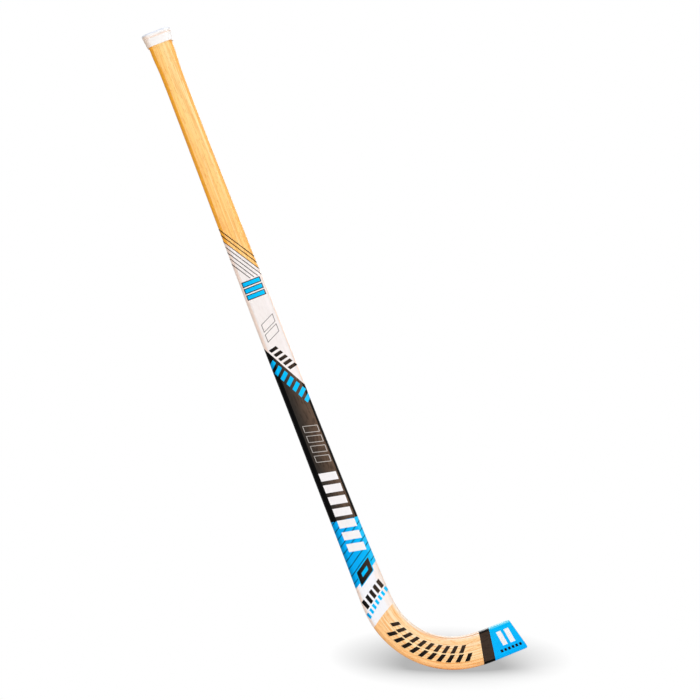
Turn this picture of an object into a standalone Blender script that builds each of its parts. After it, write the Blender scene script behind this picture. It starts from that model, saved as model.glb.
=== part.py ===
"""Roller hockey stick: a glued, bent wooden stick with a push-on butt cap and adhesive film wraps.

The stick stands upright in the XZ plane as it is held in play: the shaft leans back towards -X,
the hook turns towards +X and the lowest point of the blade touches Z = 0. Y runs through the
thickness. Lengths are metres. Distance d is measured along the centreline from the top of the
cap, offset t is measured across the width, positive on the throat (inner) side of the bend.
"""
import math

import bmesh
import bpy
from mathutils import Vector

# Centreline: a nearly straight shaft, then a bend whose curvature builds up and dies away evenly
LEAN_AT_BUTT = math.radians(20.8)
SHAFT_LENGTH = 0.8431
SHAFT_BOW_RADIUS = 60.0
BEND_EASE = 0.0474
BEND_RADIUS = 0.1137
BEND_ARC = 0.1318
TOE_LENGTH = 0.0311
TRACE_STEP = 0.0005

# Section: width by distance along the stick, one thickness, rounded long edges
WIDTHS = (
    (0.000, 0.0344),
    (0.036, 0.0335),
    (0.060, 0.0308),
    (0.150, 0.0305),
    (0.300, 0.0327),
    (0.450, 0.0351),
    (0.580, 0.0357),
    (0.660, 0.0372),
    (0.790, 0.0395),
    (0.880, 0.0431),
    (0.930, 0.0438),
    (1.010, 0.0458),
    (1.070, 0.0452),
    (1.120, 0.0444),
)
THICKNESS = 0.0220
SHAFT_EDGE_RADIUS = 0.0070
BLADE_EDGE_RADIUS = 0.0060
EDGE_RADIUS_EASE = (0.790, 0.900)

# Toe cut: slanted so that the lower corner leads, with both corners rounded off
TOE_CUT_SLOPE = math.tan(math.radians(13.5))
TOE_CORNER_RADIUS = 0.0030

# Laminations: equal strips, a wedge on each side of the core from mid shaft to the toe
STRIP = 0.0050
GLUE_GAP = 0.0003
WEDGE_TIP = 0.430
WEDGE_FULL = 0.930
WEDGE_THICKNESS = 0.0053
WEDGE_BLUNT_END = 0.0006

# Adhesive film: one thickness everywhere, a little clear of the wood
FILM = 0.00025
FILM_GAP = 0.0003

# Butt cap: a moulded cup over the end of the handle
CAP_LENGTH = 0.0187
CAP_ROOF = 0.0037
CAP_WALL = 0.0015
CAP_FLARE = 0.0015
CAP_BEAD = 0.0020
CAP_BEAD_LENGTH = 0.0037
CAP_GROOVE = 0.0004
CAP_EDGE_ROUND = 0.0014
CAP_LIP_ROUND = 0.0005
NUBS = ((-0.0098, 0.0010), (0.0105, 0.0005))
NUB_RADIUS = 0.0022
NUB_TAPER = 0.6
NUB_SEGMENTS = 12

# Where the colours of the film meet, as distance on the centreline and run per unit of offset
WHITE_TOP = (0.3372, 1.61)
BLACK_TOP = (0.5070, 1.92)
BLUE_TOP = (0.7393, 0.14)
BLUE_END = (0.8233, -0.66)
WHITE_END = (0.8842, -0.39)
BAND_START = (1.0447, 0.16)
BAND_END = (1.0606, 0.16)

# Mesh fineness
SHAFT_STEP = 0.048
BEND_STEP = 0.0075
EDGE_FACETS = 3
SHOULDER_FACETS = 2
FILM_FACETS = 5
CAP_CORNER_FACETS = 5
SHARP_ANGLE = math.radians(35)


def remove_objects():
    """Empty the scene of whatever it opened with."""
    for obj in list(bpy.data.objects):
        bpy.data.objects.remove(obj, do_unlink=True)


def make_material(name, colour, roughness, metallic=0.0):
    """A Principled material with one colour, roughness and metallic value."""
    material = bpy.data.materials.new(name)
    material.use_nodes = True
    shader = material.node_tree.nodes["Principled BSDF"]
    shader.inputs["Base Color"].default_value = (*colour, 1.0)
    shader.inputs["Roughness"].default_value = roughness
    shader.inputs["Metallic"].default_value = metallic
    return material


def ease(value):
    """Smooth step from 0 to 1."""
    value = min(max(value, 0.0), 1.0)
    return value * value * (3.0 - 2.0 * value)


# Centreline and section

def trace_centreline():
    """Points (d, x, z, heading) along the stick; heading turns from straight down towards +X."""
    bow = 1.0 / SHAFT_BOW_RADIUS
    bend = 1.0 / BEND_RADIUS
    stretches = (
        (SHAFT_LENGTH, bow, bow),
        (BEND_EASE, bow, bend),
        (BEND_ARC, bend, bend),
        (BEND_EASE, bend, 0.0),
        (TOE_LENGTH + 2 * BEND_EASE, 0.0, 0.0),
    )
    d, x, z, heading = 0.0, 0.0, 0.0, LEAN_AT_BUTT
    points = [(d, x, z, heading)]
    for length, start, end in stretches:
        steps = math.ceil(length / TRACE_STEP)
        step = length / steps
        for i in range(steps):
            curvature = start + (end - start) * (i + 0.5) / steps
            middle = heading + curvature * step / 2
            x += math.sin(middle) * step
            z -= math.cos(middle) * step
            d += step
            heading += curvature * step
            points.append((d, x, z, heading))
    return points


TRACE = trace_centreline()
BEND_END = SHAFT_LENGTH + 2 * BEND_EASE + BEND_ARC
STICK_END = BEND_END + TOE_LENGTH


def centreline_at(d):
    """Centreline point and heading at distance d, between the two nearest traced points."""
    low, high = 0, len(TRACE) - 1
    while high - low > 1:
        middle = (low + high) // 2
        if TRACE[middle][0] <= d:
            low = middle
        else:
            high = middle
    a, b = TRACE[low], TRACE[high]
    f = (d - a[0]) / (b[0] - a[0])
    return [p + (q - p) * f for p, q in zip(a[1:], b[1:])]


def place(d, t, y):
    """World point of the stick at distance d, offset t towards the throat and depth y."""
    x, z, heading = centreline_at(d)
    return Vector((x + t * math.cos(heading), y, z + t * math.sin(heading)))


def width_slope(index):
    """Slope of the width at a stated width, from the stated widths on either side of it."""
    before, after = WIDTHS[max(index - 1, 0)], WIDTHS[min(index + 1, len(WIDTHS) - 1)]
    return (after[1] - before[1]) / (after[0] - before[0])


def half_width(d):
    """Half the width of the wood, on a smooth curve through the stated widths."""
    index = 0
    while index < len(WIDTHS) - 2 and d > WIDTHS[index + 1][0]:
        index += 1
    (d0, w0), (d1, w1) = WIDTHS[index], WIDTHS[index + 1]
    span = d1 - d0
    f = (d - d0) / span
    blend = ease(f)
    bulge = f * (1 - f) * span
    start, end = width_slope(index), width_slope(index + 1)
    return (w0 + (w1 - w0) * blend + bulge * (start * (1 - f) - end * f)) / 2


def edge_radius(d):
    """Radius of the four long edges."""
    start, end = EDGE_RADIUS_EASE
    return SHAFT_EDGE_RADIUS + (BLADE_EDGE_RADIUS - SHAFT_EDGE_RADIUS) * ease((d - start) / (end - start))


def wedge(d):
    """Thickness that a wedge adds on each side of the core."""
    return WEDGE_THICKNESS * min(max((d - WEDGE_TIP) / (WEDGE_FULL - WEDGE_TIP), 0.0), 1.0)


def toe_limit(t, half):
    """Distance at which the stick ends at offset t, with the corners rounded off."""
    past_corner = abs(t) - (half - TOE_CORNER_RADIUS)
    cut = 0.0
    if past_corner > 0:
        reach = min(past_corner, TOE_CORNER_RADIUS)
        cut = TOE_CORNER_RADIUS - math.sqrt(TOE_CORNER_RADIUS ** 2 - reach ** 2)
    return STICK_END - TOE_CUT_SLOPE * t - cut


# Solids from rings

def new_object(name, mesh_data, material):
    """Turn a bmesh into a linked, smooth-shaded object whose faces point outwards."""
    bmesh.ops.recalc_face_normals(mesh_data, faces=mesh_data.faces)
    mesh = bpy.data.meshes.new(name)
    mesh_data.to_mesh(mesh)
    mesh_data.free()
    mesh.shade_smooth()
    mesh.set_sharp_from_angle(angle=SHARP_ANGLE)
    mesh.materials.append(material)
    obj = bpy.data.objects.new(name, mesh)
    bpy.context.scene.collection.objects.link(obj)
    return obj


def join_rings(mesh_data, ring_a, ring_b):
    """A band of quads between two rings of equal count."""
    count = len(ring_a)
    for i in range(count):
        j = (i + 1) % count
        mesh_data.faces.new((ring_a[i], ring_a[j], ring_b[j], ring_b[i]))


def close_ladder(mesh_data, ring):
    """Fill an end ring with rungs between its front half and its back half."""
    last = len(ring) - 1
    for i in range(len(ring) // 2 - 1):
        mesh_data.faces.new((ring[i], ring[i + 1], ring[last - i - 1], ring[last - i]))


def solid(name, rings, material, looped=False):
    """A closed body skinned over rings of points; looped bodies meet their own start."""
    mesh_data = bmesh.new()
    verts = [[mesh_data.verts.new(p) for p in ring] for ring in rings]
    for ring_a, ring_b in zip(verts, verts[1:]):
        join_rings(mesh_data, ring_a, ring_b)
    if looped:
        join_rings(mesh_data, verts[-1], verts[0])
    else:
        close_ladder(mesh_data, verts[0])
        close_ladder(mesh_data, verts[-1])
    return new_object(name, mesh_data, material)


# Wood

def strip_bounds(kind, side, d):
    """Offsets (near, far) of a strip from the centreline, both on its own side."""
    gap = GLUE_GAP / 2
    core = STRIP / 2
    extra = wedge(d)
    if kind == "core":
        return -core + gap, core - gap
    if kind == "wedge":
        return side * (core + gap), side * (core + extra - gap)
    first = core + extra
    near = {"inner": first, "middle": first + STRIP, "edge": first + 2 * STRIP}[kind]
    if kind == "edge":
        return side * (near + gap), side * half_width(d)
    return side * (near + gap), side * (near + STRIP - gap)


def strip_profile(kind, side, d):
    """Front half of a strip's section as (t, y) from its near face to its far face."""
    near, far = strip_bounds(kind, side, d)
    depth = THICKNESS / 2
    if kind not in ("middle", "edge"):
        return [(near, depth), (far, depth)]
    half = half_width(d)
    radius = edge_radius(d)
    bend_start = half - radius
    points = []
    start_angle = 0.0
    if kind == "middle":
        points.append((near, depth))
        end_angle = math.asin((abs(far) - bend_start) / radius)
        facets = SHOULDER_FACETS
    else:
        start_angle = math.asin((abs(near) - bend_start) / radius)
        end_angle = math.pi / 2
        facets = EDGE_FACETS
    for i in range(facets + 1):
        angle = start_angle + (end_angle - start_angle) * i / facets
        t = side * (bend_start + radius * math.sin(angle))
        points.append((t, depth - radius + radius * math.cos(angle)))
    return points


def ring_of(profile, distance):
    """A ring at the distances given by a function of offset, front half then back half."""
    front = [place(distance(t), t, -y) for t, y in profile]
    back = [place(distance(t), t, y) for t, y in reversed(profile)]
    return front + back


def wood_stations(start):
    """Distances of the square sections from a strip's start to the end of the bend."""
    flare = [d for d, _ in WIDTHS[1:3]]
    shaft_steps = math.ceil((SHAFT_LENGTH - flare[-1]) / SHAFT_STEP)
    bend_steps = math.ceil((BEND_END - SHAFT_LENGTH) / BEND_STEP)
    stations = [flare[0], sum(flare) / 2, flare[1]]
    stations += [flare[-1] + (SHAFT_LENGTH - flare[-1]) * i / shaft_steps for i in range(1, shaft_steps)]
    stations += [SHAFT_LENGTH + (BEND_END - SHAFT_LENGTH) * i / bend_steps for i in range(bend_steps + 1)]
    return [start] + [d for d in stations if d > start]


def make_strip(name, kind, side, start, material):
    """One bent strip of wood from its start to the slanted toe cut."""
    rings = []
    for d in wood_stations(start):
        rings.append(ring_of(strip_profile(kind, side, d), lambda t, d=d: d))
    half = half_width(STICK_END)
    rings.append(ring_of(strip_profile(kind, side, STICK_END), lambda t: toe_limit(t, half)))
    return solid(name, rings, material)


def make_wood(material_edge, material_core):
    """The core, three strips on each side of it and the two wedges."""
    butt = CAP_ROOF + GLUE_GAP
    wedge_start = WEDGE_TIP + (WEDGE_FULL - WEDGE_TIP) * WEDGE_BLUNT_END / WEDGE_THICKNESS
    strips = [make_strip("core_lamination", "core", 1, butt, material_core)]
    for side, side_name in ((1, "throat"), (-1, "heel")):
        strips.append(make_strip(side_name + "_wedge", "wedge", side, wedge_start, material_core))
        for kind in ("inner", "middle", "edge"):
            name = f"{side_name}_lamination_{kind}"
            strips.append(make_strip(name, kind, side, butt, material_edge))
    return strips


# Film

def film_profile(d, offset):
    """Closed section of a film surface at a distance, grown off the wood by offset."""
    half = half_width(d) + offset
    depth = THICKNESS / 2 + offset
    radius = edge_radius(d) + offset
    profile = []
    for i in range(FILM_FACETS + 1):
        angle = math.pi / 2 * (1 - i / FILM_FACETS)
        profile.append((half - radius + radius * math.sin(angle), depth - radius + radius * math.cos(angle)))
    return profile + [(-t, y) for t, y in reversed(profile)]


def film_ring(limits, fraction, offset):
    """A ring of film between its two slanted ends, at a fraction of the way from the first."""
    def distance(t):
        start, end = (limit(t) for limit in limits)
        return start + (end - start) * fraction

    profile = film_profile(distance(0.0), offset)
    fitted = []
    for index, (t, _) in enumerate(profile):
        fitted.append(film_profile(distance(t), offset)[index])
    return ring_of(fitted, distance)


def slanted(boundary, clearance):
    """A film end as distance by offset, moved along the stick by a clearance."""
    middle, run = boundary
    return lambda t: middle + run * t + clearance


def make_film(name, start, end, rows, material):
    """A thin sleeve of film round the wood between two ends."""
    outer = [film_ring((start, end), i / rows, FILM_GAP + FILM) for i in range(rows + 1)]
    inner = [film_ring((start, end), i / rows, FILM_GAP) for i in range(rows + 1)]
    return solid(name, outer + inner[::-1], material, looped=True)


def make_films(white, black, blue):
    """The six wraps, from the shaft down to the toe."""
    gap = GLUE_GAP / 2
    toe_half = half_width(STICK_END)

    def toe_end(t):
        return toe_limit(t, toe_half + FILM_GAP + FILM)

    panels = (
        ("upper_white_wrap", slanted(WHITE_TOP, gap), slanted(BLACK_TOP, -gap), 5, white),
        ("black_wrap", slanted(BLACK_TOP, gap), slanted(BLUE_TOP, -gap), 6, black),
        ("blue_wrap", slanted(BLUE_TOP, gap), slanted(BLUE_END, -gap), 3, blue),
        ("lower_white_wrap", slanted(BLUE_END, gap), slanted(WHITE_END, -gap), 8, white),
        ("toe_black_band", slanted(BAND_START, 0.0), slanted(BAND_END, -gap), 3, black),
        ("toe_blue_wrap", slanted(BAND_END, gap), toe_end, 4, blue),
    )
    return [make_film(*panel) for panel in panels]


# Butt cap

def rounded_rectangle(half_x, half_y, radius, height):
    """Ring of points at a height, front half then back half, corners as arcs."""
    front = []
    for side in (1, -1):
        corner = []
        for i in range(CAP_CORNER_FACETS + 1):
            angle = math.pi / 2 * i / CAP_CORNER_FACETS
            x = side * (half_x - radius + radius * math.cos(angle))
            corner.append((x, -(half_y - radius + radius * math.sin(angle))))
        front += corner if side == 1 else corner[::-1]
    ring = [Vector((x, y, height)) for x, y in front]
    return ring + [Vector((x, -y, height)) for x, y in reversed(front)]


def cap_profile():
    """Outside of the cap from its lower lip to the roof, as (height, growth over the socket)."""
    lip = CAP_WALL
    waist = lip + CAP_FLARE
    bead = lip + CAP_BEAD
    top = CAP_LENGTH
    bead_start = top - CAP_BEAD_LENGTH
    profile = [
        (0.0, lip - CAP_LIP_ROUND),
        (CAP_LIP_ROUND, lip),
        (bead_start - CAP_LIP_ROUND, waist),
        (bead_start - CAP_LIP_ROUND / 2, waist - CAP_GROOVE),
        (bead_start, bead - CAP_LIP_ROUND),
        (bead_start + CAP_LIP_ROUND, bead),
    ]
    for i in range(CAP_CORNER_FACETS + 1):
        angle = math.pi / 2 * i / CAP_CORNER_FACETS
        height = top - CAP_EDGE_ROUND + CAP_EDGE_ROUND * math.sin(angle)
        profile.append((height, bead - CAP_EDGE_ROUND + CAP_EDGE_ROUND * math.cos(angle)))
    return profile


def make_cap(material):
    """A moulded cup, open at the bottom, with a beaded rim and two small nubs on its roof."""
    socket_x = half_width(0.0) + GLUE_GAP
    socket_y = THICKNESS / 2 + GLUE_GAP
    corner = SHAFT_EDGE_RADIUS + GLUE_GAP
    rings = [rounded_rectangle(socket_x, socket_y, corner, CAP_LENGTH - CAP_ROOF)]
    rings.append(rounded_rectangle(socket_x, socket_y, corner, 0.0))
    for height, growth in cap_profile():
        rings.append(rounded_rectangle(socket_x + growth, socket_y + growth, corner + growth, height))
    cap = solid("butt_cap", rings, material)
    for offset, height in NUBS:
        add_nub(cap, offset, height)
    x, z, heading = centreline_at(CAP_LENGTH)
    cap.location = (x, 0.0, z)
    cap.rotation_euler = (0.0, -heading, 0.0)
    return cap


def add_nub(cap, offset, height):
    """Join a low round nub to the cap's roof."""
    mesh_data = bmesh.new()
    bmesh.ops.create_cone(
        mesh_data, cap_ends=True, segments=NUB_SEGMENTS,
        radius1=NUB_RADIUS, radius2=NUB_RADIUS * NUB_TAPER, depth=2 * height)
    bmesh.ops.translate(mesh_data, verts=mesh_data.verts, vec=(offset, 0.0, CAP_LENGTH))
    nub = new_object("nub_former", mesh_data, cap.data.materials[0])
    nub.hide_render = True
    nub.display_type = "WIRE"
    nub.parent = cap
    union = cap.modifiers.new("nub", "BOOLEAN")
    union.operation = "UNION"
    union.object = nub


def stand_on_floor(pieces):
    """Parent every piece to one empty, placed so that the stick stands centred on the origin."""
    bpy.context.view_layer.update()
    points = [piece.matrix_world @ v.co for piece in pieces for v in piece.data.vertices]
    low_x, high_x = min(p.x for p in points), max(p.x for p in points)
    frame = bpy.data.objects.new("stick_frame", None)
    bpy.context.scene.collection.objects.link(frame)
    for piece in pieces:
        piece.parent = frame
    frame.location = (-(low_x + high_x) / 2, 0.0, -min(p.z for p in points))


def main():
    """Build the whole stick."""
    remove_objects()
    ash = make_material("ash", (0.80, 0.50, 0.20), 0.45)
    poplar = make_material("poplar", (0.85, 0.62, 0.33), 0.50)
    white = make_material("white_film", (0.88, 0.86, 0.85), 0.30)
    black = make_material("black_film", (0.02, 0.02, 0.02), 0.25)
    blue = make_material("blue_film", (0.0, 0.42, 0.85), 0.30)
    plastic = make_material("white_plastic", (0.88, 0.87, 0.86), 0.40)
    pieces = make_wood(ash, poplar)
    pieces += make_films(white, black, blue)
    pieces.append(make_cap(plastic))
    stand_on_floor(pieces)


main()
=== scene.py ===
"""Looks of a roller hockey stick: bent wood strips, printed film wraps and a moulded butt cap.

Every piece is first built straight on a bench. There X is the distance along the stick's middle line,
measured from the top of the cap, Y is the offset towards the throat (inner side) of the bend, and Z is
the side that faces the viewer. A finished piece is bent along the middle line and stood upright in the
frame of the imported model. Lengths are metres.
"""

import logging
import math
from collections.abc import Callable, Iterable, Iterator
from contextlib import contextmanager
from dataclasses import dataclass, field, replace
from enum import Enum
from functools import partial

import bmesh
import bpy
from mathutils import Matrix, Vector


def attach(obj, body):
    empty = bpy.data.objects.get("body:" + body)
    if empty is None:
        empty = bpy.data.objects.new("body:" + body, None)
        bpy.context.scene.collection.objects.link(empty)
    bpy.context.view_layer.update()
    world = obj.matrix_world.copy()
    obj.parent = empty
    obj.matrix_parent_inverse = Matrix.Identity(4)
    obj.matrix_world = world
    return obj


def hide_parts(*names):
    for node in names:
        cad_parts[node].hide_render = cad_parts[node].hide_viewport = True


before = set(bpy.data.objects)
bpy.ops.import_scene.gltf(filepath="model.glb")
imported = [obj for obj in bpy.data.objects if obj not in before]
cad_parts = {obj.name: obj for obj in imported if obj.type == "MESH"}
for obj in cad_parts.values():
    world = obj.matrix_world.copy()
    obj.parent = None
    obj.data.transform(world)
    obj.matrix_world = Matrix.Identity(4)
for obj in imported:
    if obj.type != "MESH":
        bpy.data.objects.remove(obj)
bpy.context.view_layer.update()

LOG = logging.getLogger("stick")
BODY = "root"
MM = 0.001
TOUCH = 0.05 * MM
SEAM = 0.002 * MM
STRAIGHT = "straight"
SMOOTH_ANGLE = math.radians(32)

# Limits for a face's normal: square to an axis, sawn square, on the flat front or back, without a slope
# towards the viewer, and turned towards the toe
SQUARE = 0.99
SAWN = 0.999
FLAT = 0.9995
NO_SLOPE = 0.002
TOEWARDS = 0.1

Object = bpy.types.Object
Tree = bpy.types.NodeTree
Node = bpy.types.Node
Socket = bpy.types.NodeSocket
Face = bmesh.types.BMFace
Edge = bmesh.types.BMEdge
Test = Callable[..., bool]
Pair = tuple[float, float]
Triple = tuple[float, float, float]
Sides = Callable[[float], Pair]
Plane = tuple[Vector, Vector]


class Part(Enum):
    """The parts of a mesh that can be picked in edit mode."""

    VERT = "verts"
    EDGE = "edges"
    FACE = "faces"


class Side(Enum):
    """The two sides of the middle line."""

    THROAT = 1
    HEEL = -1


class Cut(Enum):
    """What happens to the mesh past the plane of a cut."""

    KEEP = "keep"
    DROP = "drop"
    DROP_AND_CLOSE = "drop and close"


# Bench tools

def choose(*objects: Object) -> None:
    """Select only these objects and make the first one active.

    Args:
        objects: The objects.
    """
    bpy.ops.object.select_all(action="DESELECT")
    for obj in objects:
        obj.select_set(True)
    bpy.context.view_layer.objects.active = objects[0]


@contextmanager
def editing(obj: Object) -> Iterator[None]:
    """Put one object alone in edit mode.

    Args:
        obj: The object to edit.
    """
    choose(obj)
    bpy.ops.object.mode_set(mode="EDIT")
    yield
    bpy.ops.object.mode_set(mode="OBJECT")


def pick(obj: Object, part: Part, test: Test) -> None:
    """Select only the parts of a mesh that pass a test, in edit mode.

    Args:
        obj: The object in edit mode.
        part: Which kind of part is selected.
        test: Takes a part and says whether it is wanted.
    """
    bpy.ops.mesh.select_mode(type=part.name)
    bpy.ops.mesh.select_all(action="DESELECT")
    mesh = bmesh.from_edit_mesh(obj.data)
    for element in getattr(mesh, part.value):
        if test(element):
            element.select_set(True)
    mesh.select_flush_mode()
    bmesh.update_edit_mesh(obj.data, loop_triangles=False, destructive=False)


def at_x(x: float) -> Test:
    """A test for faces that lie square across the bench at a distance."""
    return lambda face: all(abs(vert.co.x - x) < TOUCH for vert in face.verts)


def runs_along(edge: Edge) -> bool:
    """Whether an edge runs along the bench."""
    return abs(edge.verts[0].co.x - edge.verts[1].co.x) > SEAM


def faces_butt(face: Face) -> bool:
    """Whether a face looks square towards the butt."""
    return face.normal.x < -SQUARE


def block(name: str, low: Triple, high: Triple) -> Object:
    """Add a rectangular blank between two corners.

    Args:
        name: The object's name.
        low: Lowest corner.
        high: Highest corner.

    Returns:
        The new object, at the origin, with its place in its mesh.
    """
    size = Vector(high) - Vector(low)
    middle = (Vector(high) + Vector(low)) / 2
    bpy.ops.mesh.primitive_cube_add(size=1.0, location=middle, scale=size)
    obj = bpy.context.object
    obj.name = name
    obj.data.name = name
    bpy.ops.object.transform_apply(location=True, rotation=True, scale=True)
    return obj


def copy_of(obj: Object, name: str) -> Object:
    """Copy an object with its own mesh.

    Args:
        obj: The object to copy.
        name: The copy's name.

    Returns:
        The copy.
    """
    twin = obj.copy()
    twin.data = obj.data.copy()
    twin.name = name
    twin.data.name = name
    bpy.context.scene.collection.objects.link(twin)
    return twin


def extrude(distance: float) -> None:
    """Draw the selected face out along the bench, in edit mode."""
    bpy.ops.mesh.extrude_region_move(TRANSFORM_OT_translate={"value": (distance, 0, 0)})


def saw(obj: Object, plane: Plane, cut: Cut, test: Test = lambda face: True) -> None:
    """Cut a mesh with a plane, in edit mode.

    Args:
        obj: The object in edit mode.
        plane: A point on the plane and its normal, which points to the side that may be dropped.
        cut: What happens to the mesh on that side.
        test: Picks the faces to cut.
    """
    pick(obj, Part.FACE, test)
    bpy.ops.mesh.bisect(
        plane_co=plane[0], plane_no=plane[1], threshold=SEAM,
        use_fill=cut is Cut.DROP_AND_CLOSE, clear_outer=cut is not Cut.KEEP)


def apply_modifier(obj: Object, kind: str, **settings: object) -> None:
    """Add a modifier, set it up and apply it.

    Args:
        obj: The object to change.
        kind: The modifier's type.
        settings: Its properties by name.
    """
    modifier = obj.modifiers.new("step", kind)
    for name, value in settings.items():
        setattr(modifier, name, value)
    choose(obj)
    bpy.ops.object.modifier_apply(modifier=modifier.name)


def join(pieces: list[Object], name: str) -> Object:
    """Join objects into the first one.

    Args:
        pieces: The objects, which become one.
        name: The name of the joined object.

    Returns:
        The joined object.
    """
    choose(*pieces)
    bpy.ops.object.join()
    pieces[0].name = name
    pieces[0].data.name = name
    return pieces[0]


def clean(obj: Object) -> None:
    """Merge doubled points and turn all faces outwards.

    Args:
        obj: The object to clean.
    """
    with editing(obj):
        bpy.ops.mesh.select_all(action="SELECT")
        bpy.ops.mesh.remove_doubles(threshold=SEAM)
        bpy.ops.mesh.normals_make_consistent(inside=False)


def remove(obj: Object) -> None:
    """Take a bench object out of the scene."""
    bpy.data.objects.remove(obj, do_unlink=True)


# Middle line and section of the stick

@dataclass(frozen=True)
class MiddleLine:
    """The stick's middle line: a nearly straight shaft, then a bend that builds up and dies away."""

    butt: Pair = (-0.253420, 0.902365)
    lean_at_butt: float = math.radians(20.8)
    shaft_length: float = 0.8431
    shaft_bow_radius: float = 60.0
    bend_ease: float = 0.0474
    bend_radius: float = 0.1137
    bend_arc: float = 0.1318
    toe_length: float = 0.0311
    run_out: float = 0.030
    step: float = 0.001
    shaft_station: float = 0.010
    bend_station: float = 0.0035

    @property
    def bend_end(self) -> float:
        """Distance at which the bend ends."""
        return self.shaft_length + 2 * self.bend_ease + self.bend_arc

    @property
    def stick_end(self) -> float:
        """Distance at which the middle of the toe ends."""
        return self.bend_end + self.toe_length

    def points(self) -> list[Pair]:
        """Trace the line in the stick's own plane.

        Returns:
            Points (x, height) from the butt to past the toe.
        """
        bow = 1 / self.shaft_bow_radius
        bend = 1 / self.bend_radius
        stretches = (
            (self.shaft_length, bow, bow),
            (self.bend_ease, bow, bend),
            (self.bend_arc, bend, bend),
            (self.bend_ease, bend, 0.0),
            (self.toe_length + self.run_out, 0.0, 0.0),
        )
        x, height = self.butt
        heading = self.lean_at_butt
        traced = [(x, height)]
        for length, start, end in stretches:
            steps = math.ceil(length / self.step)
            step = length / steps
            for index in range(steps):
                curvature = start + (end - start) * (index + 0.5) / steps
                middle = heading + curvature * step / 2
                x += math.sin(middle) * step
                height -= math.cos(middle) * step
                heading += curvature * step
                traced.append((x, height))
        return traced

    def bending_form(self) -> Object:
        """Make the line a curve object, which a Curve modifier bends pieces along.

        Returns:
            The curve object.
        """
        curve = bpy.data.curves.new("bending_form", "CURVE")
        curve.dimensions = "2D"
        traced = self.points()
        spline = curve.splines.new("POLY")
        spline.points.add(len(traced) - 1)
        for point, (x, height) in zip(spline.points, traced):
            point.co = (x, height, 0.0, 1.0)
        form = bpy.data.objects.new("bending_form", curve)
        bpy.context.scene.collection.objects.link(form)
        return form

    def stations(self, start: float, end: float) -> list[float]:
        """Distances of the sections between two ends, closer together in the bend.

        Args:
            start: The first distance.
            end: The last distance.

        Returns:
            The distances in order, both ends among them.
        """
        shaft_count = round(self.shaft_length / self.shaft_station)
        bend_count = round((self.stick_end - self.shaft_length) / self.bend_station)
        grid = [self.shaft_length * index / shaft_count for index in range(shaft_count)]
        grid += [self.shaft_length + self.bend_station * index for index in range(bend_count + 1)]
        return [start] + [d for d in grid if start + MM < d < end - MM] + [end]


@dataclass(frozen=True)
class Section:
    """The stick's section: width by distance, one thickness and rounded long edges."""

    widths: tuple[Pair, ...] = (
        (0.000, 0.0344),
        (0.036, 0.0335),
        (0.060, 0.0308),
        (0.150, 0.0305),
        (0.300, 0.0327),
        (0.450, 0.0351),
        (0.580, 0.0357),
        (0.660, 0.0372),
        (0.790, 0.0395),
        (0.880, 0.0431),
        (0.930, 0.0438),
        (1.010, 0.0458),
        (1.070, 0.0452),
        (1.120, 0.0444),
    )
    thickness: float = 0.0220
    shaft_edge_radius: float = 0.0070
    blade_edge_radius: float = 0.0060
    radius_change: Pair = (0.790, 0.900)
    edge_facets: int = 9
    edge_fullness: float = 0.46

    def slope(self, index: int) -> float:
        """Slope of the width at a stated width.

        Args:
            index: The stated width's place in the list.

        Returns:
            The slope between its neighbours.
        """
        before = self.widths[max(index - 1, 0)]
        after = self.widths[min(index + 1, len(self.widths) - 1)]
        return (after[1] - before[1]) / (after[0] - before[0])

    def half_width(self, d: float) -> float:
        """Half the width of the wood, on a smooth curve through the stated widths.

        Args:
            d: Distance along the stick.

        Returns:
            The offset of the stick's sides.
        """
        index = 0
        while index < len(self.widths) - 2 and d > self.widths[index + 1][0]:
            index += 1
        (d0, w0), (d1, w1) = self.widths[index], self.widths[index + 1]
        share = (d - d0) / (d1 - d0)
        bulge = share * (1 - share) * (d1 - d0)
        lean = self.slope(index) * (1 - share) - self.slope(index + 1) * share
        return (w0 + (w1 - w0) * ease(share) + bulge * lean) / 2

    def edge_radius(self, d: float) -> float:
        """Radius of the long edges at a distance.

        Args:
            d: Distance along the stick.

        Returns:
            The radius.
        """
        start, end = self.radius_change
        change = self.blade_edge_radius - self.shaft_edge_radius
        return self.shaft_edge_radius + change * ease((d - start) / (end - start))


def ease(value: float) -> float:
    """Smooth step from 0 to 1."""
    value = min(max(value, 0.0), 1.0)
    return value * value * (3.0 - 2.0 * value)


@dataclass(frozen=True)
class ToeCut:
    """The slanted saw cut at the toe, with both corners rasped round and its rim eased."""

    slant: float = math.radians(13.5)
    corner_radius: float = 0.0030
    corner_facets: int = 7
    rim_ease: float = 0.0009
    rim_facets: int = 3

    @property
    def outward(self) -> Vector:
        """The normal of the saw cut."""
        return Vector((math.cos(self.slant), math.sin(self.slant), 0))

    def planes(self, end: float, half: float) -> list[Plane]:
        """The planes that cut the toe: the slant, then those that round its corners.

        Args:
            end: Distance of the cut on the middle line.
            half: Half the width of the bar at the toe.

        Returns:
            A point and an outward normal for each plane.
        """
        cuts = [(Vector((end, 0, 0)), self.outward)]
        for side in Side:
            centre_y = side.value * (half - self.corner_radius)
            centre_x = end - (self.corner_radius + math.sin(self.slant) * centre_y) / math.cos(self.slant)
            turn = side.value * math.pi / 2 - self.slant
            for index in range(1, self.corner_facets):
                angle = self.slant + turn * index / self.corner_facets
                outward = Vector((math.cos(angle), math.sin(angle), 0))
                cuts.append((Vector((centre_x, centre_y, 0)) + outward * self.corner_radius, outward))
        return cuts


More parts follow.
